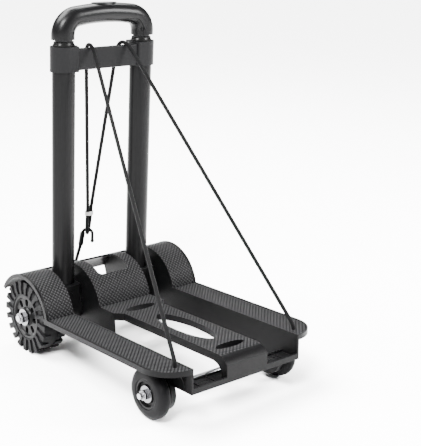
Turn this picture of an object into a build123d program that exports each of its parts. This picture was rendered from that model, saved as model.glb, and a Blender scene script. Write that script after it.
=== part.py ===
from build123d import *
import math
import os

# A folding luggage cart, in millimetres. +X is its width, -Y its front, +Z up, and the floor is Z = 0.
# The deck and everything moulded with it are drawn level, round the rear axle as origin, then tipped
# nose-up by DECK_PITCH. The mast is drawn upright round the same axle.

# --- Driving dimensions -------------------------------------------------------------------------
REAR_WHEEL_R = 54.0         # over the tread lugs
FRONT_WHEEL_R = 35.5
FRONT_AXLE_BACK = 271.0     # rear axle to front axle along the floor
DECK_PITCH = 3.5            # degrees, nose up
DECK_TOP = 12.0             # deck surface above the rear axle
DECK_HALF_W = 140.0
DECK_FRONT = 331.0          # rear axle to the front edge
SKIRT_X = 93.0              # wing inner edge
SKIRT_LOW = -22.8           # skirt's lower edge
WALL = 3.0                  # moulding wall
PLATE = 4.0                 # deck plate
CORNER_R = 45.0             # wing front corner
DRUM_R = 64.5               # fenders and bridge
BRIDGE_X = 47.0             # bridge half width
TONGUE_X = 36.0             # tongue half width
TONGUE_ROOT = 98.0          # front edge of the bridge's cheeks
LIP_ANGLE = 31.5            # rear lip of the fenders, degrees above level
BAND_BACK = 23.0            # where the rear band starts, behind the axle

REAR_AXLE_R = 5.0
FRONT_AXLE_R = 4.0
RUNNING_GAP = 0.05          # radial play of a wheel or pivot on its axle
REAR_WHEEL_IN, REAR_WHEEL_OUT = 100.0, 138.0
FRONT_WHEEL_IN, FRONT_WHEEL_OUT = 104.0, 123.0
EAR_OUT, EAR_R = 101.5, 27.5  # the lobe under each skirt that carries the front axle
LUGS = 20

TUBE_X = 68.5               # tube centres
MAST_BACK = 2.4             # tube axis behind the rear axle
OUTER_TUBE = (35.6, 27.7)   # oval, width by depth
MIDDLE_TUBE = (31.2, 23.4)
INNER_TUBE = (27.0, 19.6)
TUBE_WALL = 1.1
CLAMP_LOW, CLAMP_TOP = 358.0, 393.4     # above the rear axle
GRIP_LOW = 402.7            # lower end of the handle's legs
GRIP_MID = 436.5            # grip centre line at the middle
STAGE_LOW = 62.0            # lower end of the middle tubes
STAGE_TRAVEL = 235.0        # of each telescopic stage
PIN_UP = 24.0               # lock pins above the lower end of the middle tubes

CORD_R = 2.75
CORD_HOLE = (106.0, -310.0)
LUG_X = -8.0                # the short cord's eyelet, off the middle


# --- Helpers --------------------------------------------------------------------------------------
def box(x0, x1, y0, y1, z0, z1):
    centre = Pos((x0 + x1) / 2, (y0 + y1) / 2, (z0 + z1) / 2)
    return centre * Box(abs(x1 - x0), abs(y1 - y0), abs(z1 - z0))


def rod(x0, x1, radius, y=0.0, z=0.0):
    """A round bar along X."""
    return Pos((x0 + x1) / 2, y, z) * Rot(0, 90, 0) * Cylinder(radius, abs(x1 - x0))


def across(points, x0, x1):
    """A prism along X from an outline of (y, z) points."""
    outline = make_face(Polyline(*[(0, y, z) for y, z in points], close=True))
    return Pos(min(x0, x1), 0, 0) * extrude(outline, abs(x1 - x0), dir=(1, 0, 0))


def oval(size, z0, z1, x=0.0, y=0.0, less=0.0):
    """An upright oval bar. less takes that much off all round."""
    section = Ellipse(size[0] / 2 - less, size[1] / 2 - less)
    return Pos(x, y, z0) * extrude(section, z1 - z0)


def both(shape):
    """The shape and its mirror image across the cart's middle."""
    return [shape, mirror(shape, Plane.YZ)]


def group(shapes):
    return Compound(children=[s for shape in shapes for s in shape.solids()])


def nut_and_end(x, radius, across_flats, y=0.0, z=0.0):
    """A hexagon nut on the axle, outside x, with the axle's domed end showing."""
    hexagon = RegularPolygon(across_flats / math.sqrt(3), 6)
    thick = across_flats * 0.48
    nut = extrude(hexagon, thick) - Cylinder(radius + 0.02, 3 * thick)
    return Pos(x, y, z) * Rot(0, 90, 0) * chamfer(nut.edges().filter_by(GeomType.LINE).sort_by(Axis.Z)[-6:], 0.6)


# --- Platform moulding (level, round the rear axle) -----------------------------------------------
def wing():
    outline = Polyline(
        (SKIRT_X, -56), (DECK_HALF_W, -56), (DECK_HALF_W, -DECK_FRONT), (SKIRT_X, -DECK_FRONT), close=True
    )
    plan = make_face(outline)
    corner = plan.vertices().sort_by(lambda v: v.X - v.Y)[-1]
    plan = fillet(corner, CORNER_R)
    top = Pos(0, 0, DECK_TOP - PLATE) * extrude(plan, PLATE)
    inside = offset(plan, -2.5, kind=Kind.INTERSECTION)
    rim = Pos(0, 0, DECK_TOP - 7) * extrude(plan - inside, 7.6)
    skirt = box(SKIRT_X, SKIRT_X + WALL, -DECK_FRONT, -40, SKIRT_LOW, DECK_TOP)
    return top + rim + skirt


def drum_sector(r_out, r_in):
    """The fender arc's (y, z) outline, from the deck over the top to the rear lip, as a face in YZ."""
    start = math.radians(LIP_ANGLE)
    end = math.pi - math.asin(DECK_TOP / DRUM_R) + 0.06
    middle = (start + end) / 2

    def at(r, angle):
        return (0, r * math.cos(angle), r * math.sin(angle))

    edges = [
        ThreePointArc(at(r_out, start), at(r_out, middle), at(r_out, end)),
        Line(at(r_out, end), at(r_in, end)),
        ThreePointArc(at(r_in, end), at(r_in, middle), at(r_in, start)),
        Line(at(r_in, start), at(r_out, start)),
    ]
    return make_face(edges)


def drum():
    shell = Pos(-DECK_HALF_W, 0, 0) * extrude(drum_sector(DRUM_R, DRUM_R - WALL), 2 * DECK_HALF_W, dir=(1, 0, 0))
    bead_face = drum_sector(DRUM_R + 0.6, DRUM_R - WALL - 2)
    for side in both(Pos(DECK_HALF_W - 2.5, 0, 0) * extrude(bead_face, 2.5, dir=(1, 0, 0))):
        shell += side
    for slot in both(box(BRIDGE_X, SKIRT_X, -80, BAND_BACK, -20, 80)):
        shell -= slot
    window = box(-28, 28, -38, BAND_BACK, 20, 80)
    return shell - fillet(window.edges().filter_by(Axis.Z), 6)


def side_wall(x):
    """A wall of the drum that faces a tube channel."""
    lip = math.radians(LIP_ANGLE)
    disc = Rot(0, 90, 0) * Cylinder(DRUM_R - 0.5, WALL)
    keep = across(
        [(-DRUM_R - 1, 70), (-DRUM_R - 1, SKIRT_LOW), (34, SKIRT_LOW),
         (60 * math.cos(lip), 60 * math.sin(lip)), (70 * math.cos(lip), 70 * math.sin(lip)), (70, 70)],
        -WALL / 2, WALL / 2,
    )
    return Pos(x + WALL / 2, 0, 0) * (disc & keep)


def cheek():
    """The bridge's wall forward of the drum, under the tongue's root."""
    outline = [(-50, DECK_TOP), (-TONGUE_ROOT, DECK_TOP), (-TONGUE_ROOT, -19), (-60, SKIRT_LOW), (-50, SKIRT_LOW)]
    return across(outline, BRIDGE_X - WALL, BRIDGE_X)


def tongue_profile(thick):
    """Side view of the tongue: flat, then bent over the front into a vertical face."""
    drop, run = 10.0, 24.0
    y_bend, y_front, z_bend = -DECK_FRONT + run, -DECK_FRONT, DECK_TOP - drop
    bow = (y_bend - run * 0.66, DECK_TOP - drop * 0.33)
    inner_r = 12.0
    edges = [
        Line((0, -55, DECK_TOP), (0, y_bend, DECK_TOP)),
        ThreePointArc((0, y_bend, DECK_TOP), (0, *bow), (0, y_front, z_bend)),
        Line((0, y_front, z_bend), (0, y_front, SKIRT_LOW)),
        Line((0, y_front, SKIRT_LOW), (0, y_front + thick, SKIRT_LOW)),
        Line((0, y_front + thick, SKIRT_LOW), (0, y_front + thick, z_bend - inner_r)),
        ThreePointArc(
            (0, y_front + thick, z_bend - inner_r),
            (0, y_front + thick + 4.5, DECK_TOP - thick - 5.5),
            (0, y_bend + 4, DECK_TOP - thick),
        ),
        Line((0, y_bend + 4, DECK_TOP - thick), (0, -55, DECK_TOP - thick)),
        Line((0, -55, DECK_TOP - thick), (0, -55, DECK_TOP)),
    ]
    return make_face(edges)


def tongue():
    plan = make_face(Polyline(
        (-BRIDGE_X, -40), (-BRIDGE_X, -TONGUE_ROOT), (-TONGUE_X, -TONGUE_ROOT - 12), (-TONGUE_X, -DECK_FRONT - 5),
        (TONGUE_X, -DECK_FRONT - 5), (TONGUE_X, -TONGUE_ROOT - 12), (BRIDGE_X, -TONGUE_ROOT), (BRIDGE_X, -40),
        close=True,
    ))
    inside = offset(plan, -WALL, kind=Kind.INTERSECTION)
    block = Pos(0, 0, -40) * extrude(plan, 80)
    core = Pos(0, 0, -40) * extrude(inside, 80)
    thin = Pos(-60, 0, 0) * extrude(tongue_profile(PLATE), 120, dir=(1, 0, 0))
    deep = Pos(-60, 0, 0) * extrude(tongue_profile(11.0), 120, dir=(1, 0, 0))
    shape = (thin & block) + ((deep & block) - core)
    for half_x, half_y, y in ((25.5, 9.0, -101.5), (20.0, 61.0, -205.0), (24.5, 8.0, -296.0)):
        collar = Pos(0, y, DECK_TOP - 9) * extrude(Ellipse(half_x + 2, half_y + 2), 9)
        shape += collar & block
        shape -= Pos(0, y, DECK_TOP - 20) * extrude(Ellipse(half_x, half_y), 40)
    return shape


def crossbar():
    """The low tray across the front, between the skirts."""
    back = -DECK_FRONT + 32
    floor = box(-SKIRT_X, SKIRT_X, -DECK_FRONT, back, SKIRT_LOW, SKIRT_LOW + 3)
    lip = box(-SKIRT_X, SKIRT_X, -DECK_FRONT, -DECK_FRONT + WALL, SKIRT_LOW, SKIRT_LOW + 8)
    tray = floor + lip + box(-SKIRT_X, SKIRT_X, back - WALL, back, SKIRT_LOW, SKIRT_LOW + 5)
    for side in (-1, 1):
        for i in range(2):
            x = side * (TONGUE_X + 12 + 26 * i)
            tray += box(x - 1, x + 1, -DECK_FRONT, back, SKIRT_LOW, SKIRT_LOW + 4.5)
        for y in (-DECK_FRONT + 11, -DECK_FRONT + 20):
            middle = side * (TONGUE_X + 25)
            tray -= box(middle - 9, middle + 9, y - 1.6, y + 1.6, SKIRT_LOW - 1, SKIRT_LOW + 2.99)
            tray -= box(middle - 9, middle + 9, y - 1.6, y + 1.6, SKIRT_LOW - 1, SKIRT_LOW + 6)
    return tray


def front_axle_spot():
    """The front axle in the level deck's own (y, z), round the rear axle."""
    tip = math.radians(DECK_PITCH)
    drop = FRONT_WHEEL_R - REAR_WHEEL_R
    return (
        -FRONT_AXLE_BACK * math.cos(tip) - drop * math.sin(tip),
        -FRONT_AXLE_BACK * math.sin(tip) + drop * math.cos(tip),
    )


def bracket():
    """The ear under the skirt that carries the front axle, and the gussets that stiffen the wing."""
    y, z = front_axle_spot()
    ear = rod(SKIRT_X, EAR_OUT, EAR_R, y, z) - rod(EAR_OUT - 2, EAR_OUT + 1, EAR_R - 4, y, z)
    ear += rod(SKIRT_X, EAR_OUT + 1.4, 9, y, z)
    shape = ear & box(0, DECK_HALF_W, -DECK_FRONT, 0, -90, SKIRT_LOW + 12)
    low, high = SKIRT_LOW + 2, DECK_TOP - 2
    for y0 in (-DECK_FRONT + 13, y + 44, -190.0, -130.0, -80.0):
        arc = ThreePointArc((120, y0, high), (102, y0, -1), (SKIRT_X + WALL + 1, y0, low))
        outline = [arc, Line((SKIRT_X + WALL + 1, y0, low), (SKIRT_X + 1, y0, low)),
                   Line((SKIRT_X + 1, y0, low), (SKIRT_X + 1, y0, high)),
                   Line((SKIRT_X + 1, y0, high), (120, y0, high))]
        shape += extrude(make_face(outline), 2.5, dir=(0, 1, 0))
    return shape


def cord_lug():
    """The eyelet on the rear lip that the short cord is tied to."""
    lip = math.radians(LIP_ANGLE)
    y, z = DRUM_R * math.cos(lip), DRUM_R * math.sin(lip)
    shape = box(LUG_X - 8, LUG_X + 8, y - 6, y + 11, z - 1, z + 4)
    shape = fillet(shape.edges().filter_by(Axis.Z).group_by(Axis.Y)[-1], 6)
    return shape - Pos(LUG_X, y + 4.5, z) * Cylinder(CORD_R + 0.3, 20)


def platform():
    shape = drum() + tongue() + crossbar() + cord_lug()
    for part in (wing(), side_wall(SKIRT_X), side_wall(BRIDGE_X - WALL), cheek(), bracket()):
        for side in both(part):
            shape += side
    y, z = front_axle_spot()
    shape -= rod(-160, 160, REAR_AXLE_R + 0.1)
    shape -= rod(-160, 160, FRONT_AXLE_R + 0.1, y, z)
    for side in (-1, 1):
        shape -= Pos(side * CORD_HOLE[0], CORD_HOLE[1], 0) * Cylinder(CORD_R + 0.3, 60)
    return shape


# --- Axles, washers and nuts ------------------------------------------------------------------------
def rear_axle():
    return rod(-150, 150, REAR_AXLE_R)


def rear_washers():
    disc = rod(REAR_WHEEL_OUT + 0.4, REAR_WHEEL_OUT + 2.4, 12.5) - rod(130, 145, REAR_AXLE_R + 0.02)
    inner = rod(SKIRT_X + WALL, REAR_WHEEL_IN - 0.6, 9) - rod(80, 110, REAR_AXLE_R + 0.02)
    return group(both(disc) + both(inner))


def rear_nuts():
    return group(both(nut_and_end(REAR_WHEEL_OUT + 2.4, REAR_AXLE_R, 15)))


def front_axle():
    y, z = front_axle_spot()
    return rod(-FRONT_WHEEL_OUT - 10, FRONT_WHEEL_OUT + 10, FRONT_AXLE_R, y, z)


def front_washers():
    y, z = front_axle_spot()
    ring = rod(FRONT_WHEEL_OUT - 3.1, FRONT_WHEEL_OUT - 1.5, 11.5, y, z)
    return group(both(ring - rod(60, 140, FRONT_AXLE_R + 0.02, y, z)))


def front_nuts():
    y, z = front_axle_spot()
    return group(both(nut_and_end(FRONT_WHEEL_OUT - 1.5, FRONT_AXLE_R, 13, y, z)))


# --- Wheels (drawn for the right side) ---------------------------------------------------------------
RIM_R = 33.0
BUSH_R = 7.0


def revolved(points):
    """A ring round the X axis from an outline of (x, r) points."""
    return revolve(make_face(Polyline(*[(x, r, 0) for x, r in points], close=True)), Axis.X)


def rear_tyre():
    x0, x1 = REAR_WHEEL_IN, REAR_WHEEL_OUT
    carcass = revolved([
        (x0 + 2.2, RIM_R), (x1 - 2.2, RIM_R), (x1 - 2.2, 47), (x1 - 4, 50.4), (x1 - 8, 52.0),
        (x0 + 8, 52.0), (x0 + 4, 50.4), (x0 + 2.2, 47),
    ])
    claws = Circle(RIM_R + 1.5)
    for i in range(LUGS):
        outline = [(RIM_R, -2.2), (41, -2.9), (46.5, -2.0), (54.2, -2.6), (54.2, 6.2), (49.5, 6.0), (44.5, 3.2),
                   (RIM_R, 2.2)]
        claw = make_face(Polyline(*outline, close=True))
        claws += Rot(0, 0, 360 / LUGS * i) * claw
    claws = (claws - Circle(RIM_R)) & Circle(REAR_WHEEL_R)
    ring = Rot(0, 90, 0) * extrude(claws, 13)
    return carcass + Pos(x1 - 13, 0, 0) * ring + Pos(x0, 0, 0) * ring


def rear_rim():
    x0, x1 = REAR_WHEEL_IN + 1, REAR_WHEEL_OUT - 1
    shape = revolved([
        (x0, BUSH_R), (x1, BUSH_R), (x1, 13), (x1 - 2.5, 14.5), (x1 - 2.5, 27.5), (x1, 29), (x1, RIM_R - 0.02),
        (x0, RIM_R - 0.02), (x0, 29.5), (x1 - 9, 29.5), (x1 - 9, 13), (x0, 13),
    ])
    for i in range(8):
        slot = Rot(0, 0, 45 * i) * Pos(21.5, 0, 0) * SlotOverall(11.5, 7.6)
        shape -= Pos(x1 - 20, 0, 0) * Rot(0, 90, 0) * extrude(slot, 30)
    return shape


def rear_bush():
    return rod(REAR_WHEEL_IN, REAR_WHEEL_OUT, BUSH_R - 0.02) - rod(90, 145, REAR_AXLE_R + RUNNING_GAP)


def front_tyre():
    h = (FRONT_WHEEL_OUT - FRONT_WHEEL_IN) / 2
    r = FRONT_WHEEL_R
    y, z = front_axle_spot()
    return Pos(FRONT_WHEEL_OUT - h, y, z) * revolved([
        (-h + 1, 20), (h - 1, 20), (h, 21.5), (h, 26), (h - 0.6, 29), (h - 2.2, 32), (h - 4.6, r - 1), (h - 7.5, r),
        (7.5 - h, r), (4.6 - h, r - 1), (2.2 - h, 32), (0.6 - h, 29), (-h, 26), (-h, 21.5),
    ])


def front_hub():
    h = (FRONT_WHEEL_OUT - FRONT_WHEEL_IN) / 2
    y, z = front_axle_spot()
    bore = FRONT_AXLE_R + RUNNING_GAP
    return Pos(FRONT_WHEEL_OUT - h, y, z) * revolved([
        (-h, bore), (h - 3.4, bore), (h - 3.4, 12), (h - 5, 13), (h - 5, 16), (h - 0.5, 17.5), (h - 1, 19.98),
        (1 - h, 19.98), (0.5 - h, 17.5), (5 - h, 16), (5 - h, 8.5), (-h, 8),
    ])


# --- Mast (upright, round the rear axle) ---------------------------------------------------------------
BLOCK_IN, BLOCK_OUT = BRIDGE_X + 1.2, SKIRT_X - 1.2
BLOCK_TOP = 39.0


def pivot_block(side):
    x0, x1 = side * BLOCK_IN, side * BLOCK_OUT
    low, high = min(x0, x1), max(x0, x1)
    middle = (x0 + x1) / 2
    body = box(low, high, -18, 21, 0, BLOCK_TOP)
    body = fillet(body.edges().filter_by(Axis.Z), 6)
    body = body + rod(x0, x1, 19.5)
    body = body - oval(OUTER_TUBE, 14, 60, side * TUBE_X, MAST_BACK, less=-0.05)
    for y in (-18, 21):
        body -= Pos(middle, y, 26) * Rot(90, 0, 0) * Cylinder(4.5, 3.2)
        body -= Pos(middle, y, 26) * Rot(90, 0, 0) * Cylinder(1.9, 14)
    return body - rod(low - 5, high + 5, REAR_AXLE_R + RUNNING_GAP)


def pivot_screws():
    middle = (BLOCK_IN + BLOCK_OUT) / 2
    made = []
    for y, out in ((-18, 1), (21, -1)):
        head = Pos(middle, y + 0.8 * out, 26) * Rot(90, 0, 0) * Cylinder(3.6, 1.4)
        slot = Pos(middle, y + 0.2 * out, 26) * Box(4.6, 0.8, 0.8) + Pos(middle, y + 0.2 * out, 26) * Box(0.8, 0.8, 4.6)
        made += both(head - slot)
    return group(made)


def outer_tube(side):
    tube = oval(OUTER_TUBE, 15, CLAMP_TOP - 3, side * TUBE_X, MAST_BACK)
    tube -= oval(OUTER_TUBE, 0, 500, side * TUBE_X, MAST_BACK, less=TUBE_WALL)
    for z in (334.0, 100.0):
        hole = Pos(side * TUBE_X, MAST_BACK + 14, z) * Rot(90, 0, 0) * Cylinder(3.0, 12)
        tube -= hole
    return tube


def clamp_bridge():
    thick = 3.0
    shape = None
    for side in (-1, 1):
        sleeve = oval(OUTER_TUBE, CLAMP_LOW, CLAMP_TOP, side * TUBE_X, MAST_BACK, less=-thick)
        front, back = MAST_BACK - OUTER_TUBE[1] / 2 - thick, MAST_BACK + OUTER_TUBE[1] / 2 + thick
        x0, x1 = side * 52.0, side * (TUBE_X + 2)
        cheek_box = box(min(x0, x1), max(x0, x1), front, back, CLAMP_LOW, CLAMP_TOP)
        x_in = side * 52.0
        cheek_box = fillet(
            [e for e in cheek_box.edges().filter_by(Axis.Z) if abs(e.center().X - x_in) < 0.1], 2.5
        )
        shape = sleeve + cheek_box if shape is None else shape + sleeve + cheek_box
    bar = box(-56, 56, MAST_BACK - 13.4, MAST_BACK - 6.4, CLAMP_LOW + 1.5, CLAMP_TOP - 3)
    shape += fillet(bar.edges().filter_by(Axis.X), 1.5)
    for side in (-1, 1):
        shape -= oval(OUTER_TUBE, CLAMP_LOW - 1, CLAMP_TOP - 3, side * TUBE_X, MAST_BACK, less=-0.05)
        shape -= oval(MIDDLE_TUBE, CLAMP_LOW, CLAMP_TOP + 1, side * TUBE_X, MAST_BACK, less=-0.4)
        for z in (CLAMP_LOW + 9, CLAMP_TOP - 11):
            y = MAST_BACK + OUTER_TUBE[1] / 2 + thick
            shape -= Pos(side * TUBE_X, y, z) * Rot(90, 0, 0) * Cylinder(3.0, 2.4)
    return shape


def clamp_screws():
    made = []
    y = MAST_BACK + OUTER_TUBE[1] / 2 + 3.0
    for z in (CLAMP_LOW + 9, CLAMP_TOP - 11):
        head = Pos(TUBE_X, y - 0.7, z) * Rot(90, 0, 0) * Cylinder(2.8, 1.0)
        made += both(head - Pos(TUBE_X, y - 0.1, z) * Box(3.6, 0.8, 0.7))
    return group(made)


# --- Middle stage -----------------------------------------------------------------------------------------
def middle_tube(side):
    tube = oval(MIDDLE_TUBE, STAGE_LOW, CLAMP_TOP + 3, side * TUBE_X, MAST_BACK)
    tube -= oval(MIDDLE_TUBE, 0, 500, side * TUBE_X, MAST_BACK, less=TUBE_WALL)
    for z in (STAGE_LOW + PIN_UP, STAGE_LOW + PIN_UP + STAGE_TRAVEL):
        tube -= Pos(side * TUBE_X, MAST_BACK + 12, z) * Rot(90, 0, 0) * Cylinder(3.0, 12)
    return tube


def middle_cap(side):
    """The flared collar on top of the middle tube, which rests on the clamp."""
    low, neck, top = CLAMP_TOP + 0.2, CLAMP_TOP + 3.0, CLAMP_TOP + 6.3
    x = side * TUBE_X
    flange = oval((34.0, 26.4), low, low + 1.8, x, MAST_BACK)
    taper = loft([
        Pos(x, MAST_BACK, low + 1.8) * Ellipse(16.6, 12.9),
        Pos(x, MAST_BACK, top - 1.2) * Ellipse(15.2, 11.6),
    ])
    lip = oval((31.0, 23.8), top - 1.2, top, x, MAST_BACK)
    shape = flange + taper + lip - oval(INNER_TUBE, 300, 500, x, MAST_BACK, less=-0.35)
    return shape - oval(MIDDLE_TUBE, 300, neck, x, MAST_BACK, less=-0.03)


def middle_plugs():
    """Nylon sliders on the lower ends of the middle tubes."""
    made = []
    for side in (-1, 1):
        skirt = oval(OUTER_TUBE, STAGE_LOW - 8, STAGE_LOW, side * TUBE_X, MAST_BACK, less=TUBE_WALL + 0.35)
        made.append(skirt - oval(INNER_TUBE, 0, 100, side * TUBE_X, MAST_BACK, less=2.0))
    return group(made)


# --- Handle stage -------------------------------------------------------------------------------------------
INNER_LOW = STAGE_LOW + 14
PIN_Z = STAGE_LOW + PIN_UP
PIN_R = 2.5


def inner_tube(side):
    tube = oval(INNER_TUBE, INNER_LOW, GRIP_LOW + 13, side * TUBE_X, MAST_BACK)
    tube -= oval(INNER_TUBE, 0, 500, side * TUBE_X, MAST_BACK, less=TUBE_WALL)
    return tube - Pos(side * TUBE_X, MAST_BACK + 8, PIN_Z) * Rot(90, 0, 0) * Cylinder(PIN_R + 0.3, 10)


def inner_plugs():
    """Nylon plugs in the lower ends of the inner tubes, which guide the lock pins."""
    made = []
    for side in (-1, 1):
        x = side * TUBE_X
        foot = oval(MIDDLE_TUBE, INNER_LOW - 6, INNER_LOW, x, MAST_BACK, less=TUBE_WALL + 0.35)
        stem = oval(INNER_TUBE, INNER_LOW, INNER_LOW + 20, x, MAST_BACK, less=TUBE_WALL + 0.05)
        plug = foot + stem
        plug -= Pos(x, MAST_BACK + 3, PIN_Z) * Rot(90, 0, 0) * Cylinder(PIN_R + 0.06, 30)
        plug -= Pos(x, MAST_BACK, PIN_Z + 10) * Cylinder(3.0, 24)
        made.append(plug)
    return group(made)


def lock_pins():
    made = []
    for side in (-1, 1):
        x = side * TUBE_X
        pin = Pos(x, MAST_BACK + 3.0, PIN_Z) * Rot(90, 0, 0) * Cylinder(PIN_R, 14)
        made.append(fillet(pin.edges().group_by(Axis.Y)[-1], 1.2))
    return group(made)


def grip_path():
    """The handle's centre line: up one leg, over the gently arched grip, down the other."""
    x, y = TUBE_X + 1.5, MAST_BACK
    corner_x, corner_z, knee = 48.0, GRIP_MID - 3.5, GRIP_MID - 28.3
    arch_r = (corner_x ** 2 + 3.5 ** 2) / 7.0
    slope = math.asin(corner_x / arch_r)
    lean = (math.pi / 2 + slope) / 2 - slope / 2
    r = (x - corner_x) / (1 - math.sin(slope))
    mid = (x - r + r * math.cos(lean), knee + r * math.sin(lean))
    end_z = knee + r * math.cos(slope)
    top = end_z + 3.5
    edges = [
        Line((-x, y, GRIP_LOW), (-x, y, knee)),
        ThreePointArc((-x, y, knee), (-mid[0], y, mid[1]), (-corner_x, y, end_z)),
        ThreePointArc((-corner_x, y, end_z), (0, y, top), (corner_x, y, end_z)),
        ThreePointArc((corner_x, y, end_z), (mid[0], y, mid[1]), (x, y, knee)),
        Line((x, y, knee), (x, y, GRIP_LOW)),
    ]
    return Wire(edges)


def grip_sweep(leg, bar):
    """The handle swept along its path. leg and bar are its (in-plane, depth) half sizes."""
    path = grip_path()
    sections = []
    for t, size in ((0.0, leg), (0.06, leg), (0.27, bar), (0.5, bar), (0.73, bar), (0.94, leg), (1.0, leg)):
        at = path.position_at(t)
        along = path.tangent_at(t)
        plane = Plane(origin=at, x_dir=Vector(0, 1, 0), z_dir=along)
        sections.append(plane * Ellipse(size[1], size[0]))
    return sweep(sections, path=path, multisection=True)


def grip_hollow():
    shape = grip_sweep((13.2, 12.4), (10.8, 12.2))
    for side in (-1, 1):
        shape += oval(INNER_TUBE, GRIP_LOW - 5, GRIP_LOW + 13.1, side * TUBE_X, MAST_BACK, less=-0.06)
    return shape


def grip_body():
    shape = grip_sweep((17.0, 15.5), (14.2, 15.5))
    plinth = Pos(0, MAST_BACK, GRIP_MID + 8) * extrude(Ellipse(22.5, 10.4), 6.9, taper=10)
    return shape + plinth


def inner_side(gap=0.0):
    """The space on the inner side of the seam that parts the two grip shells, less a gap."""
    plan = RectangleRounded(2 * (TUBE_X - 6.0 - gap), 120 - 2 * gap, 17)
    return Pos(0, MAST_BACK - 30, GRIP_MID - 8.5 - 60) * Rot(-90, 0, 0) * extrude(plan, 60)


def button_well():
    return Pos(0, MAST_BACK, GRIP_MID + 4) * extrude(Ellipse(17.5, 7.8), 30)


def grip_screw_spots():
    z = GRIP_LOW + 9.5
    return [(-TUBE_X + 7.5, z), (TUBE_X - 7.5, z)]


def grip_shell(upper):
    shape = grip_body() - grip_hollow()
    if upper:
        shape = shape - inner_side() - button_well()
    else:
        shape = shape & inner_side(0.45)
    for x, z in grip_screw_spots():
        shape -= Pos(x, MAST_BACK - 15.5, z) * Rot(90, 0, 0) * Cylinder(2.7, 8)
    return shape


def grip_screws():
    made = []
    for x, z in grip_screw_spots():
        head = Pos(x, MAST_BACK - 12.6, z) * Rot(90, 0, 0) * Cylinder(2.4, 1.4)
        made.append(head - Pos(x, MAST_BACK - 13.2, z) * Box(3.2, 0.8, 0.7))
    return group(made)


def release_button():
    cap = Pos(0, MAST_BACK, GRIP_MID + 6) * extrude(Ellipse(17.1, 7.4), 9.1)
    cap = fillet(cap.edges().group_by(Axis.Z)[-1], 1.6)
    return cap


def button_yoke():
    """The bar inside the grip that carries the button's push out to both legs."""
    x, y = TUBE_X, MAST_BACK
    points = [(-x, y, GRIP_MID - 26), (-x, y, GRIP_MID - 21), (-x + 14, y, GRIP_MID - 5.0),
              (-30, y, GRIP_MID + 1), (30, y, GRIP_MID + 1), (x - 14, y, GRIP_MID - 5.0),
              (x, y, GRIP_MID - 21), (x, y, GRIP_MID - 26)]
    path = Polyline(*points)
    section = Plane(origin=points[0], x_dir=(1, 0, 0), z_dir=(0, 0, 1)) * Rectangle(3, 6)
    bar = sweep(section, path=path, transition=Transition.RIGHT)
    return bar + box(-7, 7, y - 3, y + 3, GRIP_MID, GRIP_MID + 6)


def push_rods():
    top = GRIP_MID - 26
    return group([Pos(side * TUBE_X, MAST_BACK, (PIN_Z + 8 + top) / 2) * Cylinder(2.0, top - PIN_Z - 8) for side in (-1, 1)])


SPRING_LOW, SPRING_TOP = GRIP_MID - 9.0, GRIP_MID - 0.9


def button_spring():
    turns, wire, radius = 4, 0.5, 3.2
    rise = SPRING_TOP - SPRING_LOW - 2 * wire - 0.2
    path = Helix(pitch=rise / turns, height=rise, radius=radius)
    section = Plane(origin=path.position_at(0), z_dir=path.tangent_at(0)) * Circle(wire)
    return Pos(0, MAST_BACK, SPRING_LOW + wire + 0.1) * sweep(section, path=path, is_frenet=True)


# --- Elastic cord and what is on it (on the standing cart, rear axle at Y = 0) ---------------------------------
BAR_TOP = REAR_WHEEL_R + CLAMP_TOP - 3
STRAND_LEFT, STRAND_RIGHT = -32.0, 24.0     # where the strands cross the clamp bar
CRIMP = (0.0, 34.4, 183.0)      # middle of the band
HOOK_ARC_Z, HOOK_ARC_Y, HOOK_ARC_R, HOOK_BAR_R = 148.4, 38.0, 7.7, 2.4
SLEEVE_END = (-3.6, 51.5, 127.0)


def deck_point(x, y, z):
    """A point of the level deck's frame, on the standing cart."""
    tip = math.radians(DECK_PITCH)
    return x, y * math.cos(tip) + z * math.sin(tip), REAR_WHEEL_R - y * math.sin(tip) + z * math.cos(tip)


def elastic_route():
    """The long elastic: left wing hole, over the clamp bar, crimp, round its own loop, and back to the right."""
    x, y = CORD_HOLE
    return [
        deck_point(-x, y, 7.9), deck_point(-x, y, 18.0),
        (STRAND_LEFT + 2, -12.6, BAR_TOP + 3.8), (STRAND_LEFT, -0.2, BAR_TOP + 3.8),
        (-3.0, 33.7, 191.0), (-3.0, 35.1, 175.0), (-5.0, 33.0, 150.0),
        (5.0, 43.0, 150.0), (3.0, 35.1, 175.0), (3.0, 33.7, 191.0),
        (STRAND_RIGHT, -0.2, BAR_TOP + 3.8), (STRAND_RIGHT + 8, -12.6, BAR_TOP + 3.8),
        deck_point(x, y, 18.0), deck_point(x, y, 7.9),
    ]


def lug_point(z):
    lip = math.radians(LIP_ANGLE)
    return deck_point(LUG_X, DRUM_R * math.cos(lip) + 4.5, z)


def tail_route():
    """The short cord: out of the hook's sleeve and down through the eyelet."""
    return [SLEEVE_END, lug_point(41.0), lug_point(32.4)]


def tube_along(points, name):
    """A round cord along straight runs joined by arcs, each as large as its two runs allow."""
    p = [Vector(*q) for q in points]
    radii = []
    for a, b, c in zip(p, p[1:], p[2:]):
        turn = math.radians((b - a).get_angle(c - b))
        shorter = min((b - a).length, (c - b).length)
        radii.append(0.45 * shorter / math.tan(turn / 2))
    path = FilletPolyline(*points, radius=radii)
    start = Plane(origin=path.position_at(0), z_dir=path.tangent_at(0))
    tube = sweep(start * Circle(CORD_R), path=path)
    share = tube.volume / (math.pi * CORD_R ** 2 * path.length)
    print(name, "radii", [round(r, 1) for r in radii], "length", round(path.length, 1), "volume share", round(share, 4))
    return tube


def knot():
    return fillet(Cylinder(5.6, 10).edges(), 3.0)


def cord_knots():
    """The knots under the two wing holes."""
    return group([on_deck(Pos(side * CORD_HOLE[0], CORD_HOLE[1], 2.85) * knot()) for side in (-1, 1)])


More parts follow.
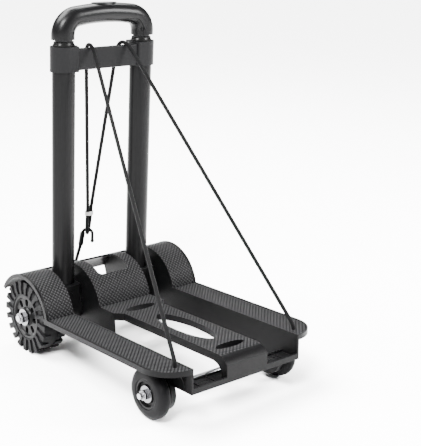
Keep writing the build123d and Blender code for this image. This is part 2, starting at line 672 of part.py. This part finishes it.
def tail_knot():
    lip = math.radians(LIP_ANGLE)
    y, z = DRUM_R * math.cos(lip) + 4.5, DRUM_R * math.sin(lip)
    return on_deck(Pos(LUG_X, y, 32.4 - 5.05) * knot())


def cord_crimp():
    """A flat metal band pinched round the two strands."""
    band = SlotOverall(14.4, 8.4) - SlotOverall(12.4, 6.4)
    return Pos(*CRIMP) * Pos(0, 0, -3) * extrude(band, 6)


def cord_hook():
    """A J hook and its sleeve, set diagonally across the elastic's loop."""
    r = HOOK_ARC_R
    path = Wire([
        Line((r, 0, -11), (r, 0, 0)),
        ThreePointArc((r, 0, 0), (0, 0, r), (-r, 0, 0)),
    ])
    bar = sweep(Plane(origin=(r, 0, -11), z_dir=(0, 0, 1)) * Circle(HOOK_BAR_R), path=path)
    bar += Pos(r, 0, -11) * Sphere(HOOK_BAR_R + 0.6)
    bar = Pos(0, HOOK_ARC_Y, HOOK_ARC_Z) * Rot(0, 0, -45) * bar
    head = Vector(-r * math.sqrt(0.5), HOOK_ARC_Y + r * math.sqrt(0.5), HOOK_ARC_Z + 1)
    along = Vector(*SLEEVE_END) - head
    length = along.length - 1.2
    sleeve = Plane(origin=head, z_dir=along) * (Pos(0, 0, length / 2) * Cylinder(4.0, length))
    return bar + sleeve


# --- Placing and writing -------------------------------------------------------------------------------------
def on_deck(shape):
    """From the level deck's frame to the cart standing on its wheels."""
    return Pos(0, 0, REAR_WHEEL_R) * Rot(-DECK_PITCH, 0, 0) * shape


def upright(shape):
    return Pos(0, 0, REAR_WHEEL_R) * shape


def model():
    nodes = {
        "platform": on_deck(platform()),
        "rear_axle": upright(rear_axle()),
        "rear_axle_washers": upright(rear_washers()),
        "rear_axle_nuts": upright(rear_nuts()),
        "front_axle": on_deck(front_axle()),
        "front_axle_washers": on_deck(front_washers()),
        "front_axle_nuts": on_deck(front_nuts()),
        "pivot_screws": upright(pivot_screws()),
        "clamp_bridge": upright(clamp_bridge()),
        "clamp_screws": upright(clamp_screws()),
        "middle_plugs": upright(middle_plugs()),
        "inner_plugs": upright(inner_plugs()),
        "lock_pins": upright(lock_pins()),
        "grip_upper_shell": upright(grip_shell(True)),
        "grip_lower_shell": upright(grip_shell(False)),
        "grip_screws": upright(grip_screws()),
        "release_button": upright(release_button()),
        "button_yoke": upright(button_yoke()),
        "push_rods": upright(push_rods()),
        "button_spring": upright(button_spring()),
        "elastic_cord": tube_along(elastic_route(), "elastic_cord"),
        "cord_knots": cord_knots(),
        "cord_crimp": cord_crimp(),
        "cord_hook": cord_hook(),
        "tail_cord": tube_along(tail_route(), "tail_cord"),
        "tail_knot": tail_knot(),
    }
    for name, side in (("left", -1), ("right", 1)):
        nodes["pivot_block_" + name] = upright(pivot_block(side))
        nodes["outer_tube_" + name] = upright(outer_tube(side))
        nodes["middle_tube_" + name] = upright(middle_tube(side))
        nodes["middle_cap_" + name] = upright(middle_cap(side))
        nodes["inner_tube_" + name] = upright(inner_tube(side))
        for part, made in (("tyre", rear_tyre()), ("rim", rear_rim()), ("bush", rear_bush())):
            nodes["rear_" + part + "_" + name] = upright(both(made)[side < 0])
        for part, made in (("tyre", front_tyre()), ("hub", front_hub())):
            nodes["front_" + part + "_" + name] = on_deck(both(made)[side < 0])
    return nodes


def main():
    nodes = model()
    bounds = nodes["platform"].bounding_box()
    middle = -(bounds.min.Y + bounds.max.Y) / 2
    print("rear axle at y", middle, "front axle spot", front_axle_spot())
    os.makedirs("parts", exist_ok=True)
    for name, shape in nodes.items():
        export_step(Pos(0, middle, 0) * shape, "parts/" + name + ".step")
    print(len(nodes), "nodes")


main()
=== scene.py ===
import math

import bmesh
import bpy
from mathutils import Matrix, Vector


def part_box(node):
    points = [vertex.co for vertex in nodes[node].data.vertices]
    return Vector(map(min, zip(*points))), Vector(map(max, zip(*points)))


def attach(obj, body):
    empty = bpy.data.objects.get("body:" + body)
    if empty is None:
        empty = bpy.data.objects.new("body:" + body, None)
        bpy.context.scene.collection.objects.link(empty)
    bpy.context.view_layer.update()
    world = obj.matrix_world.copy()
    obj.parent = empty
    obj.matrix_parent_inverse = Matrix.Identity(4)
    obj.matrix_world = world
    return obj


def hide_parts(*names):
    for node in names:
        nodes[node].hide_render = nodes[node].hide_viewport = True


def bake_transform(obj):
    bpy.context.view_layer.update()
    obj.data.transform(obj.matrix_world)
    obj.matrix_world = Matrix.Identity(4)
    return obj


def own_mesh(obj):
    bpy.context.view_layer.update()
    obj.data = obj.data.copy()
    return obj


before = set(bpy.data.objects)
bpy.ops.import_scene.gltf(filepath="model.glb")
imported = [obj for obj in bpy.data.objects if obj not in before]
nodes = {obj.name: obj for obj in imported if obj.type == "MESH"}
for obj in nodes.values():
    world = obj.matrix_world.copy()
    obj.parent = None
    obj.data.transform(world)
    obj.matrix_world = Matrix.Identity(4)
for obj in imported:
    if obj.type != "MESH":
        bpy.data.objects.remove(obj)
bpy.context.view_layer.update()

# The folding cart, in metres: +X its width, -Y its front, floor at Z = 0.
REAR_R, FRONT_R = 0.054, 0.0355         # the wheels' radii
lowest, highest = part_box("rear_axle")
AXLE = (lowest.y + highest.y) / 2       # the rear axle's Y, which the mast turns round
FRONT_AXLE = AXLE - 0.271
PITCH = math.radians(3.5)               # the deck is nose-up by this
DECK_TOP = 0.012                        # above the rear axle, square to the deck
DRUM_R = 0.0645                         # the fenders and the bridge
HALF_W = 0.140                          # half of the platform's width
CORD_D = 0.0055
KNOT_CORD_R = 0.0021
MIDDLE = (0.0, AXLE - 0.1, 0.2)         # about the cart's middle, which the lamps point at
SMOOTH_BELOW = 32                       # degrees: a sharper edge stays an edge


def deck(x, y, z):
    """A point given level, from the rear axle, on the pitched deck."""
    c, s = math.cos(PITCH), math.sin(PITCH)
    return (x, AXLE + y * c + z * s, REAR_R - y * s + z * c)


# --- Camera and light ----------------------------------------------------------------------------
def aim(obj, at):
    obj.rotation_euler = (Vector(at) - obj.location).to_track_quat("-Z", "Y").to_euler()


def add_camera():
    azimuth, elevation, roll = math.radians(-38.15), math.radians(17.42), math.radians(1.48)
    distance = 1.4841
    target = Vector((0.0, AXLE - 0.1, 0.20206))
    ahead = Vector((
        -math.sin(azimuth) * math.cos(elevation),
        math.cos(azimuth) * math.cos(elevation),
        -math.sin(elevation),
    ))
    camera = bpy.data.objects.new("camera", bpy.data.cameras.new("camera"))
    bpy.context.scene.collection.objects.link(camera)
    turn = ahead.to_track_quat("-Z", "Y").to_matrix() @ Matrix.Rotation(roll, 3, "Z")
    camera.matrix_world = Matrix.Translation(target - ahead * distance) @ turn.to_4x4()
    camera.data.sensor_width = 36.0
    camera.data.sensor_height = 36.0
    camera.data.lens = 83.16
    camera.data.shift_x = 0.1524
    camera.data.clip_start, camera.data.clip_end = 0.05, 200.0
    bpy.context.scene.camera = camera


def add_light(name, place, size, power):
    lamp = bpy.data.lights.new(name, "AREA")
    lamp.shape, lamp.size, lamp.size_y = "RECTANGLE", size[0], size[1]
    lamp.energy = power
    obj = bpy.data.objects.new(name, lamp)
    bpy.context.scene.collection.objects.link(obj)
    obj.location = place
    aim(obj, MIDDLE)


# --- Materials -----------------------------------------------------------------------------------
class Shader:
    """A node material, built a step at a time. Every value it works out is a socket."""

    def __init__(self, name, colour, rough, metallic=0.0, gloss=0.25):
        self.material = bpy.data.materials.new(name)
        self.material.use_nodes = True
        self.tree = self.material.node_tree
        self.shader = self.tree.nodes["Principled BSDF"]
        self.shader.inputs["Base Color"].default_value = (*colour, 1)
        self.shader.inputs["Roughness"].default_value = rough
        self.shader.inputs["Metallic"].default_value = metallic
        self.shader.inputs["Specular IOR Level"].default_value = gloss
        self.place = self.node("ShaderNodeTexCoord").outputs["Object"]

    def node(self, kind, **settings):
        made = self.tree.nodes.new(kind)
        for key, value in settings.items():
            setattr(made, key, value)
        return made

    def feed(self, socket, value):
        if isinstance(value, bpy.types.NodeSocket):
            self.tree.links.new(value, socket)
        else:
            socket.default_value = value

    def math(self, operation, *values, clamp=False):
        made = self.node("ShaderNodeMath", operation=operation, use_clamp=clamp)
        for socket, value in zip(made.inputs, values):
            self.feed(socket, value)
        return made.outputs[0]

    def stretch(self, scale, place=None):
        made = self.node("ShaderNodeMapping")
        self.feed(made.inputs["Vector"], place or self.place)
        made.inputs["Scale"].default_value = scale
        return made.outputs[0]

    def noise(self, scale, detail=3.0, rough=0.55, place=None):
        made = self.node("ShaderNodeTexNoise")
        self.feed(made.inputs["Vector"], place or self.place)
        made.inputs["Scale"].default_value = scale
        made.inputs["Detail"].default_value = detail
        made.inputs["Roughness"].default_value = rough
        return made.outputs[0]

    def band(self, value, low, high, to_low=0.0, to_high=1.0):
        made = self.node("ShaderNodeMapRange", interpolation_type="SMOOTHSTEP")
        for socket, given in zip(made.inputs, (value, low, high, to_low, to_high)):
            self.feed(socket, given)
        return made.outputs[0]

    def tint(self, factor, low, high):
        made = self.node("ShaderNodeMix", data_type="RGBA")
        self.feed(made.inputs[0], factor)
        for socket, value in ((made.inputs[6], low), (made.inputs[7], high)):
            self.feed(socket, (*value, 1) if isinstance(value, tuple) else value)
        return made.outputs[2]

    def colour(self, socket):
        self.feed(self.shader.inputs["Base Color"], socket)
        return self

    def rough(self, socket):
        self.feed(self.shader.inputs["Roughness"], socket)
        return self

    def bump(self, height, depth, strength=1.0, onto=None):
        made = self.node("ShaderNodeBump")
        made.inputs["Strength"].default_value = strength
        made.inputs["Distance"].default_value = depth
        self.feed(made.inputs["Height"], height)
        if onto:
            self.feed(made.inputs["Normal"], onto)
        self.feed(self.shader.inputs["Normal"], made.outputs[0])
        return made.outputs[0]

    def edges(self, radius):
        """Softened edges, for a moulded or machined piece."""
        made = self.node("ShaderNodeBevel", samples=4)
        made.inputs["Radius"].default_value = radius
        self.feed(self.shader.inputs["Normal"], made.outputs[0])
        return made.outputs[0]

    def xyz(self, place=None):
        made = self.node("ShaderNodeSeparateXYZ")
        self.feed(made.inputs[0], place or self.place)
        return made.outputs


def shade(colour, factor):
    return tuple(c * factor for c in colour)


def plastic(name, colour, rough, gloss=0.04):
    """Moulded plastic: fine grain, soft cloudy variation and faint scuffs."""
    s = Shader(name, colour, rough, gloss=gloss)
    cloud = s.noise(9, 2)
    scuff = s.band(s.noise(160, 6, 0.7, s.stretch((1, 1, 0.25))), 0.55, 0.75)
    body = s.tint(cloud, shade(colour, 0.82), shade(colour, 1.2))
    body = s.tint(s.math("MULTIPLY", scuff, 0.12), body, shade(colour, 2.2))
    s.colour(body)
    worn = s.math("MULTIPLY_ADD", scuff, 0.1, rough - 0.08)
    s.rough(s.math("ADD", s.math("MULTIPLY", cloud, 0.12), worn))
    s.bump(s.noise(2600, 2), 0.00004, 0.5, s.edges(0.0005))
    return s.material


def platform_plastic():
    """The platform's plastic, with a diamond grain on its upper faces that follows the fenders' curve; the
    grain's pyramid tops carry a painted highlight, lighter than its grooves.
    """
    colour = (0.0012, 0.0012, 0.0013)
    s = Shader("platform_plastic", colour, 0.45, gloss=0.04)
    x, y, z = s.xyz()
    skin = 0.0004       # how near the drum's radius a point is on its skin
    back = s.math("SUBTRACT", y, AXLE)
    up = s.math("SUBTRACT", z, REAR_R)
    c, n = math.cos(PITCH), math.sin(PITCH)
    level_y = s.math("SUBTRACT", s.math("MULTIPLY", back, c), s.math("MULTIPLY", up, n))
    level_z = s.math("ADD", s.math("MULTIPLY", back, n), s.math("MULTIPLY", up, c))
    radius = s.math("SQRT", s.math("ADD", s.math("MULTIPLY", back, back), s.math("MULTIPLY", up, up)))
    on_drum = s.math("GREATER_THAN", radius, DRUM_R - skin)
    near_drum = s.math("LESS_THAN", radius, DRUM_R + skin)
    above = s.math("GREATER_THAN", level_z, DECK_TOP + 0.0008)
    drum = s.math("MULTIPLY", s.math("MULTIPLY", on_drum, near_drum), above)
    turn = s.math("ARCTAN2", level_z, level_y)
    along = s.math("MULTIPLY", turn, DRUM_R)
    _, _, facing_up = s.xyz(s.node("ShaderNodeNewGeometry").outputs["True Normal"])
    high = s.math("GREATER_THAN", level_z, DECK_TOP - 0.0012)
    top = s.math("MULTIPLY", s.math("GREATER_THAN", facing_up, 0.93), high)
    side = s.band(s.math("ABSOLUTE", x), HALF_W - 0.0042, HALF_W - 0.0034, 1.0, 0.0)
    grained = s.math("MULTIPLY", s.math("MAXIMUM", drum, top), side)
    flat_run = s.math("MULTIPLY", s.math("SUBTRACT", 1.0, drum), level_y)
    run = s.math("ADD", s.math("MULTIPLY", drum, along), flat_run)
    pitch = 0.0062
    one = s.math("PINGPONG", s.math("DIVIDE", s.math("ADD", x, run), pitch), 0.5)
    two = s.math("PINGPONG", s.math("DIVIDE", s.math("SUBTRACT", x, run), pitch), 0.5)
    groove = s.math("MULTIPLY", s.band(one, 0.06, 0.26), s.band(two, 0.06, 0.26))
    pyramid = s.math("MULTIPLY", groove, s.math("ADD", 0.6, s.math("MINIMUM", one, two)))
    diamond_and_highlight = s.math("MULTIPLY", grained, pyramid)
    cloud = s.noise(7, 2)
    scuff = s.band(s.noise(120, 6, 0.7, s.stretch((1, 0.3, 1))), 0.56, 0.74)
    body = s.tint(cloud, shade(colour, 0.85), shade(colour, 1.18))
    # Painted highlight: the diamond grain's pyramid tops are painted lighter than its grooves.
    body = s.tint(s.math("MULTIPLY", diamond_and_highlight, 0.95), body, (0.017, 0.017, 0.0175))
    body = s.tint(s.math("MULTIPLY", scuff, 0.12), body, shade(colour, 4.0))
    s.colour(body)
    rough = s.math("MULTIPLY_ADD", cloud, 0.1, 0.34)
    s.rough(s.math("ADD", rough, s.math("MULTIPLY", grained, 0.06)))
    height = s.math("ADD", diamond_and_highlight, s.math("MULTIPLY", s.noise(2400, 2), 0.08))
    s.bump(height, 0.0016, 1.0, s.edges(0.0006))
    return s.material


def anodised(name, colour, rough):
    """Drawn aluminium tube, black anodised: faint lines along its length."""
    s = Shader(name, colour, rough, gloss=0.04)
    lines = s.noise(900, 3, 0.6, s.stretch((1, 1, 0.02)))
    cloud = s.noise(12, 3)
    body = s.tint(cloud, shade(colour, 0.8), shade(colour, 1.25))
    s.colour(s.tint(s.math("MULTIPLY", lines, 0.3), body, shade(colour, 1.6)))
    s.rough(s.math("MULTIPLY_ADD", lines, 0.14, rough - 0.07))
    s.bump(lines, 0.00003, 0.4)
    return s.material


def metal(name, colour, rough):
    """Bright plated or plain steel with fine scratches."""
    s = Shader(name, colour, rough, metallic=1.0)
    scratch = s.noise(700, 5, 0.7, s.stretch((0.1, 1, 1)))
    cloud = s.noise(60, 3)
    s.colour(s.tint(cloud, shade(colour, 0.85), colour))
    s.rough(s.math("MULTIPLY_ADD", scratch, 0.16, rough - 0.06))
    s.bump(scratch, 0.00002, 0.4, s.edges(0.0003))
    return s.material


def rubber(name, colour, axle):
    """Tyre rubber: matt, a little dusty, with fine moulding rings round its axle's Y and Z."""
    s = Shader(name, colour, 0.6, gloss=0.03)
    _, y, z = s.xyz()
    back, up = s.math("SUBTRACT", y, axle[0]), s.math("SUBTRACT", z, axle[1])
    radius = s.math("SQRT", s.math("ADD", s.math("MULTIPLY", back, back), s.math("MULTIPLY", up, up)))
    ring = s.math("SINE", s.math("MULTIPLY", radius, 5200))
    dust = s.band(s.noise(55, 6, 0.65), 0.45, 0.75)
    body = s.tint(s.noise(30, 3), shade(colour, 0.8), shade(colour, 1.2))
    body = s.tint(s.math("MULTIPLY", dust, 0.1), body, (0.02, 0.0195, 0.019))
    s.colour(body)
    s.rough(s.math("MULTIPLY_ADD", dust, 0.2, 0.48))
    height = s.math("ADD", s.math("MULTIPLY", ring, 0.12), s.noise(900, 4))
    s.bump(height, 0.00007, 0.5, s.edges(0.0007))
    return s.material


def braid():
    """A woven sleeve: two sets of strands that cross, along the tube's own UV map."""
    colour = (0.0009, 0.0009, 0.001)
    s = Shader("cord_sleeve", colour, 0.62, gloss=0.04)
    around, along, _ = s.xyz(s.node("ShaderNodeUVMap", uv_map="sleeve").outputs[0])
    one = s.math("PINGPONG", s.math("ADD", s.math("MULTIPLY", around, 8), along), 0.5)
    two = s.math("PINGPONG", s.math("SUBTRACT", s.math("MULTIPLY", around, 8), along), 0.5)
    weave = s.math("MULTIPLY", s.band(one, 0.03, 0.25), s.band(two, 0.03, 0.25))
    fuzz = s.noise(1500, 4)
    s.colour(s.tint(s.math("MULTIPLY", weave, fuzz), shade(colour, 0.5), shade(colour, 3.2)))
    s.rough(s.math("MULTIPLY_ADD", fuzz, 0.2, 0.5))
    s.shader.inputs["Sheen Weight"].default_value = 0.01
    s.bump(s.math("MULTIPLY_ADD", fuzz, 0.2, weave), 0.00035, 0.8)
    return s.material


def paint(names, material):
    for name in names:
        mesh = nodes[name].data
        mesh.materials.clear()
        mesh.materials.append(material)


def soften():
    """A node group that joins split corners and smooths all but the sharp edges."""
    group = bpy.data.node_groups.new("soften", "GeometryNodeTree")
    group.interface.new_socket("Geometry", in_out="INPUT", socket_type="NodeSocketGeometry")
    group.interface.new_socket("Geometry", in_out="OUTPUT", socket_type="NodeSocketGeometry")
    start, end = group.nodes.new("NodeGroupInput"), group.nodes.new("NodeGroupOutput")
    merge = group.nodes.new("GeometryNodeMergeByDistance")
    merge.inputs["Distance"].default_value = 0.000002
    faces = group.nodes.new("GeometryNodeSetShadeSmooth")
    faces.inputs["Shade Smooth"].default_value = True
    edges = group.nodes.new("GeometryNodeSetShadeSmooth")
    edges.domain = "EDGE"
    between = group.nodes.new("GeometryNodeInputMeshEdgeAngle")
    small = group.nodes.new("FunctionNodeCompare")
    small.operation = "LESS_THAN"
    small.inputs[1].default_value = math.radians(SMOOTH_BELOW)
    link = group.links.new
    link(start.outputs[0], merge.inputs[0])
    link(merge.outputs[0], faces.inputs[0])
    link(faces.outputs[0], edges.inputs[0])
    link(between.outputs[0], small.inputs[0])
    link(small.outputs[0], edges.inputs["Shade Smooth"])
    link(edges.outputs[0], end.inputs[0])
    return group


# --- Cords ---------------------------------------------------------------------------------------
def millimetres(points):
    """Points given in millimetres from the rear axle's place on the floor."""
    return [Vector((x / 1000, AXLE + y / 1000, z / 1000)) for x, y, z in points]


def smooth_line(points):
    """The points of a NURBS spline that has these as its control points."""
    data = bpy.data.curves.new("route", "CURVE")
    data.dimensions = "3D"
    spline = data.splines.new("NURBS")
    spline.points.add(len(points) - 1)
    for point, at in zip(spline.points, points):
        point.co = (*at, 1)
    spline.order_u = 3
    spline.use_endpoint_u = True
    spline.resolution_u = 14
    made = bpy.data.objects.new("route", data)
    bpy.context.scene.collection.objects.link(made)
    bpy.context.view_layer.update()
    mesh = bpy.data.meshes.new_from_object(made.evaluated_get(bpy.context.evaluated_depsgraph_get()))
    line = [v.co.copy() for v in mesh.vertices]
    bpy.data.objects.remove(made)
    return line


def even(line, step):
    """The line again, with its points no further apart than step."""
    out = [line[0]]
    for a, b in zip(line, line[1:]):
        count = max(1, math.ceil((b - a).length / step))
        out += [a.lerp(b, k / count) for k in range(1, count + 1)]
    return out


def tube(name, line, radius, material, sides=14, closed=False):
    """A round tube along the line. Its UV map, sleeve, runs once round and once in each weave along."""
    weave = 0.0052
    bm = bmesh.new()
    uv = bm.loops.layers.uv.new("sleeve")
    side = None
    rings = []
    gone, length = 0.0, []      # how far along the line, now and at each ring
    count = len(line)
    for i, at in enumerate(line):
        if closed:
            ahead = (line[(i + 1) % count] - line[i - 1]).normalized()
        else:
            ahead = (line[min(i + 1, count - 1)] - line[max(i - 1, 0)]).normalized()
        if side is None:
            side = ahead.orthogonal().normalized()
        side = (side - ahead * side.dot(ahead)).normalized()
        over = ahead.cross(side)
        if i:
            gone += (at - line[i - 1]).length
        length.append(gone)
        ring = []
        for k in range(sides):
            turn = 2 * math.pi * k / sides
            ring.append(bm.verts.new(at + radius * (math.cos(turn) * side + math.sin(turn) * over)))
        rings.append(ring)
    pairs = list(zip(range(count - 1), range(1, count)))
    if closed:
        pairs.append((count - 1, 0))
    for a, b in pairs:
        far = length[b] if b else gone + (line[0] - line[-1]).length
        for k in range(sides):
            n = (k + 1) % sides
            face = bm.faces.new((rings[a][k], rings[a][n], rings[b][n], rings[b][k]))
            face.smooth = True
            corners = ((k, length[a]), (k + 1, length[a]), (k + 1, far), (k, far))
            for loop, (u, v) in zip(face.loops, corners):
                loop[uv].uv = (u / sides, v / weave)
    if not closed:
        bm.faces.new(rings[0][::-1])
        bm.faces.new(rings[-1])
    bmesh.ops.recalc_face_normals(bm, faces=bm.faces[:])
    return piece(name, bm, material)


def piece(name, bm, material):
    mesh = bpy.data.meshes.new(name)
    bm.to_mesh(mesh)
    bm.free()
    mesh.materials.append(material)
    made = bpy.data.objects.new(name, mesh)
    bpy.context.scene.collection.objects.link(made)
    return made


def knot(name, middle, across, tall, radius, material):
    """A tied knot: a closed three-crossing loop, as wide and tall as said, outside to outside."""
    count = 120
    wide, high = (across / 2 - radius) / 3, tall / 2 - radius
    line = []
    for i in range(count):
        t = 2 * math.pi * i / count
        x, y = math.sin(t) + 2 * math.sin(2 * t), math.cos(t) - 2 * math.cos(2 * t)
        line.append(Vector(middle) + Vector((x * wide, y * wide, -math.sin(3 * t) * high)))
    return tube(name, line, radius, material, sides=12, closed=True)


def add_cords():
    sleeve = braid()
    route = millimetres([
        (-106.0, -308.94, 80.81), (-106.0, -308.32, 90.89), (-104.38, -302.03, 98.49),
        (-35.34, -33.36, 423.11), (-30.0, -12.6, 448.2), (-32.0, -0.2, 448.2), (-28.33, 4.09, 415.69),
        (-4.78, 31.62, 206.76), (-3.0, 33.7, 191.0), (-3.0, 35.1, 175.0), (-5.0, 33.0, 150.0),
        (5.0, 43.0, 150.0), (3.0, 35.1, 175.0), (3.0, 33.7, 191.0), (4.29, 31.62, 206.81),
        (21.34, 4.1, 415.59), (24.0, -0.2, 448.2), (32.0, -12.6, 448.2), (37.2, -33.38, 423.1),
        (104.42, -302.03, 98.5), (106.0, -308.32, 90.89), (106.0, -308.94, 80.81),
    ])
    line = even(smooth_line(route), 0.006)
    elastic = tube("elastic", line, CORD_D / 2, sleeve)
    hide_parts("elastic_cord")
    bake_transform(elastic)

    short = millimetres([(-3.6, 51.5, 127.0), (-8.0, 61.89, 91.29), (-8.0, 61.36, 82.71)])
    line = even(smooth_line(short), 0.003)
    tail = tube("tail", line, CORD_D / 2, sleeve)
    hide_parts("tail_cord")
    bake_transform(tail)

    for side, word in ((-1, "left"), (1, "right")):
        under_wing = deck(side * 0.106, -0.310, 0.00285)
        tied = knot("knot_" + word, under_wing, 0.0112, 0.0096, KNOT_CORD_R, sleeve)
        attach(tied, "base")
        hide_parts("cord_knots")
    low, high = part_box("tail_knot")
    tied = knot("knot_tail", (low + high) / 2, 0.0108, 0.0096, KNOT_CORD_R, sleeve)
    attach(tied, "base")
    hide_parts("tail_knot")


def add_spring():
    """The button's coil spring, which stands in the grip. The real one shortens as the button goes down;
    this one keeps its length.
    """
    wire, turns, steps = 0.001, 4, 180
    low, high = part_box("button_spring")
    middle, tall = (low + high) / 2, high.z - low.z
    radius = (high.x - low.x - wire) / 2
    line = []
    for i in range(steps + 1):
        turn = 2 * math.pi * turns * i / steps
        rise = wire / 2 + (tall - wire) * i / steps
        out = Vector((math.cos(turn), math.sin(turn), 0)) * radius
        line.append(Vector((middle.x, middle.y, low.z + rise)) + out)
    spring = tube("spring", line, wire / 2, nodes["button_spring"].data.materials[0], sides=8)
    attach(spring, "handle")
    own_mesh(spring)
    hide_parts("button_spring")


# --- The scene -----------------------------------------------------------------------------------
def add_floor():
    s = Shader("floor", (0.93, 0.93, 0.93), 0.7)
    s.colour(s.tint(s.noise(1.5, 2), (0.92, 0.92, 0.92), (0.94, 0.94, 0.94)))
    bm = bmesh.new()
    bmesh.ops.create_grid(bm, x_segments=1, y_segments=1, size=30)
    floor = piece("floor", bm, s.material)


def add_studio():
    world = bpy.data.worlds.new("studio")
    world.use_nodes = True
    world.node_tree.nodes["Background"].inputs["Color"].default_value = (1, 1, 1, 1)
    world.node_tree.nodes["Background"].inputs["Strength"].default_value = 0.3
    bpy.context.scene.world = world
    sun = bpy.data.lights.new("sky", "SUN")
    sun.energy, sun.angle = 26.0, math.radians(40)
    lamp = bpy.data.objects.new("sky", sun)
    bpy.context.scene.collection.objects.link(lamp)
    lamp.location = (-0.9, 0.9, 2.0)
    aim(lamp, (0, 0, 0))
    add_light("key", (-1.4, -0.9, 1.9), (0.6, 0.6), 330)
    add_light("top", (0.6, 1.2, 2.0), (1.6, 0.8), 160)
    add_light("side", (1.4, -1.35, 1.3), (0.5, 0.9), 200)


def dress():
    paint(["platform"], platform_plastic())
    paint(["pivot_block_left", "pivot_block_right", "pivot_screws", "cord_hook"],
          plastic("dark_plastic", (0.002, 0.002, 0.0021), 0.4))
    paint(["clamp_bridge"], plastic("clamp_plastic", (0.0036, 0.0036, 0.0038), 0.4))
    paint(["grip_upper_shell", "grip_lower_shell"],
          plastic("grip_plastic", (0.0014, 0.0014, 0.0015), 0.33, gloss=0.07))
    paint(["release_button"], plastic("button_plastic", (0.03, 0.03, 0.031), 0.4))
    paint(["middle_plugs", "inner_plugs", "button_yoke", "middle_cap_left", "middle_cap_right"],
          plastic("nylon", (0.003, 0.003, 0.003), 0.3))
    paint([n for n in nodes if n.startswith(("outer_tube", "middle_tube"))],
          anodised("black_aluminium", (0.002, 0.002, 0.0021), 0.26))
    paint(["inner_tube_left", "inner_tube_right"],
          anodised("bright_black_aluminium", (0.01, 0.01, 0.0105), 0.2))
    paint([n for n in nodes if n.endswith(("washers", "nuts"))], metal("chrome", (0.13, 0.13, 0.135), 0.2))
    paint(["rear_axle", "front_axle", "push_rods", "lock_pins", "button_spring", "clamp_screws"],
          metal("steel", (0.3, 0.3, 0.31), 0.3))
    paint(["grip_screws"], metal("dark_steel", (0.006, 0.006, 0.0062), 0.35))
    paint(["cord_crimp"], metal("crimp_metal", (0.2, 0.198, 0.19), 0.34))
    paint(["rear_tyre_left", "rear_tyre_right"],
          rubber("rear_rubber", (0.0022, 0.0022, 0.0024), (AXLE, REAR_R)))
    paint(["front_tyre_left", "front_tyre_right"],
          rubber("front_rubber", (0.0018, 0.0018, 0.002), (FRONT_AXLE, FRONT_R)))
    paint([n for n in nodes if n.startswith(("rear_rim", "rear_bush", "front_hub"))],
          plastic("wheel_plastic", (0.002, 0.002, 0.0021), 0.36))
    group = soften()
    for name in nodes:
        nodes[name].modifiers.new("soften", "NODES").node_group = group


add_camera()
add_cords()
dress()
add_spring()
add_floor()
add_studio()
